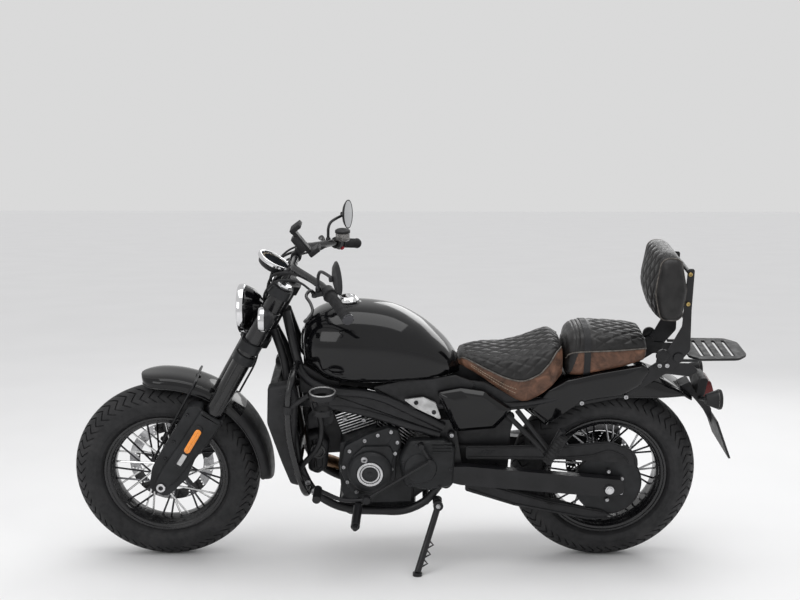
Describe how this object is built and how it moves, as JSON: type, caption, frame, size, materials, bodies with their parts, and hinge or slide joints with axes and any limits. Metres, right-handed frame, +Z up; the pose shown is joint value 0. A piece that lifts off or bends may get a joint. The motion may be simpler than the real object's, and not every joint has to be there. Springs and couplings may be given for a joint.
{
  "type": "cruiser motorcycle on its side stand",
  "caption": "Light cruiser motorcycle leaning on its side stand, with wire wheels, a stitched seat, backrest and rack.",
  "frame": {"origin": "middle of the bounding box, on the floor that the tyres and the side stand rest on", "axes": "+X to the rear of the bike (the front wheel is at -X), -Y to the rider's left, +Z up from the floor"},
  "size_m": [2.2819, 0.9496, 1.2465],
  "materials": {
    "tyre": "matt rubber",
    "wheel_black": "gloss black paint",
    "disc_steel": "brushed",
    "axle_steel": "satin",
    "cast_black": "satin black coating",
    "satin_black": "satin black paint",
    "gloss_black": "deep gloss black paint",
    "engine_black": "satin black coating",
    "exhaust_black": "matt black heat paint",
    "radiator_black": "matt black",
    "black_plastic": "matt",
    "black_rubber": "matt",
    "chrome": "polished",
    "seat_leather": "stitched",
    "lamp_red": "clear red"
  },
  "bodies": {
    "chassis": {"rear_axle": "axle_steel", "frame": "satin_black", "swingarm": "satin_black", "crankcase": "engine_black", "front_cylinder": "engine_black", "rear_cylinder": "engine_black", "engine_covers": "engine_black", "exhaust": "exhaust_black", "radiator": "radiator_black", "radiator_shrouds": "black_plastic", "fuel_tank": "gloss_black", "filler_cap": "chrome", "rider_seat": "seat_leather", "passenger_seat": "seat_leather", "backrest_pad": "seat_leather", "rear_fender": "gloss_black", "backrest_frame": "satin_black", "luggage_rack": "satin_black", "tail_lamp": "lamp_red", "plate_bracket": "black_plastic", "side_covers": "gloss_black", "drive_belt": "black_rubber", "belt_guards": "black_plastic", "foot_controls": "cast_black", "passenger_pegs": "cast_black", "crash_bars": "satin_black", "bottle_holder": "black_plastic", "rear_caliper": "cast_black"},
    "steering": {"forks": "satin_black", "yokes": "cast_black", "front_axle": "axle_steel", "front_fender": "gloss_black", "headlamp": "gloss_black", "gauge": "black_plastic", "front_signals": "black_plastic", "handlebar": "satin_black", "bar_controls": "black_rubber", "mirrors": "black_plastic", "phone_holder": "black_plastic", "front_caliper": "cast_black", "cables": "black_rubber"},
    "front_wheel": {"front_tyre": "tyre", "front_wheel_rim": "wheel_black", "front_disc": "disc_steel"},
    "rear_wheel": {"rear_tyre": "tyre", "rear_wheel_rim": "wheel_black", "rear_disc": "disc_steel", "rear_pulley": "cast_black"},
    "side_stand": {"side_stand": "satin_black"}
  },
  "joints": [
    {"name": "steering_head", "type": "hinge", "parent": "chassis", "child": "steering", "pos_m": [-0.44625, 0.01907, 0.85704], "axis": [0.4848, -0.1818, 0.8555], "range_deg": [-35, 35]},
    {"name": "front_wheel_spin", "type": "hinge", "parent": "steering", "child": "front_wheel", "pos_m": [-0.82106, 0.13438, 0.31454], "axis": [0, 0.9781, 0.2079], "continuous": true},
    {"name": "rear_wheel_spin", "type": "hinge", "parent": "chassis", "child": "rear_wheel", "pos_m": [0.69094, 0.13438, 0.31454], "axis": [0, 0.9781, 0.2079], "continuous": true},
    {"name": "side_stand_pivot", "type": "hinge", "parent": "chassis", "child": "side_stand", "pos_m": [0.11494, 0.00138, 0.21879], "axis": [0, -0.9924, 0.1234], "range_deg": [0, 100], "stiffness_Nm_per_rad": 6, "springref_deg": -34.38}
  ]
}
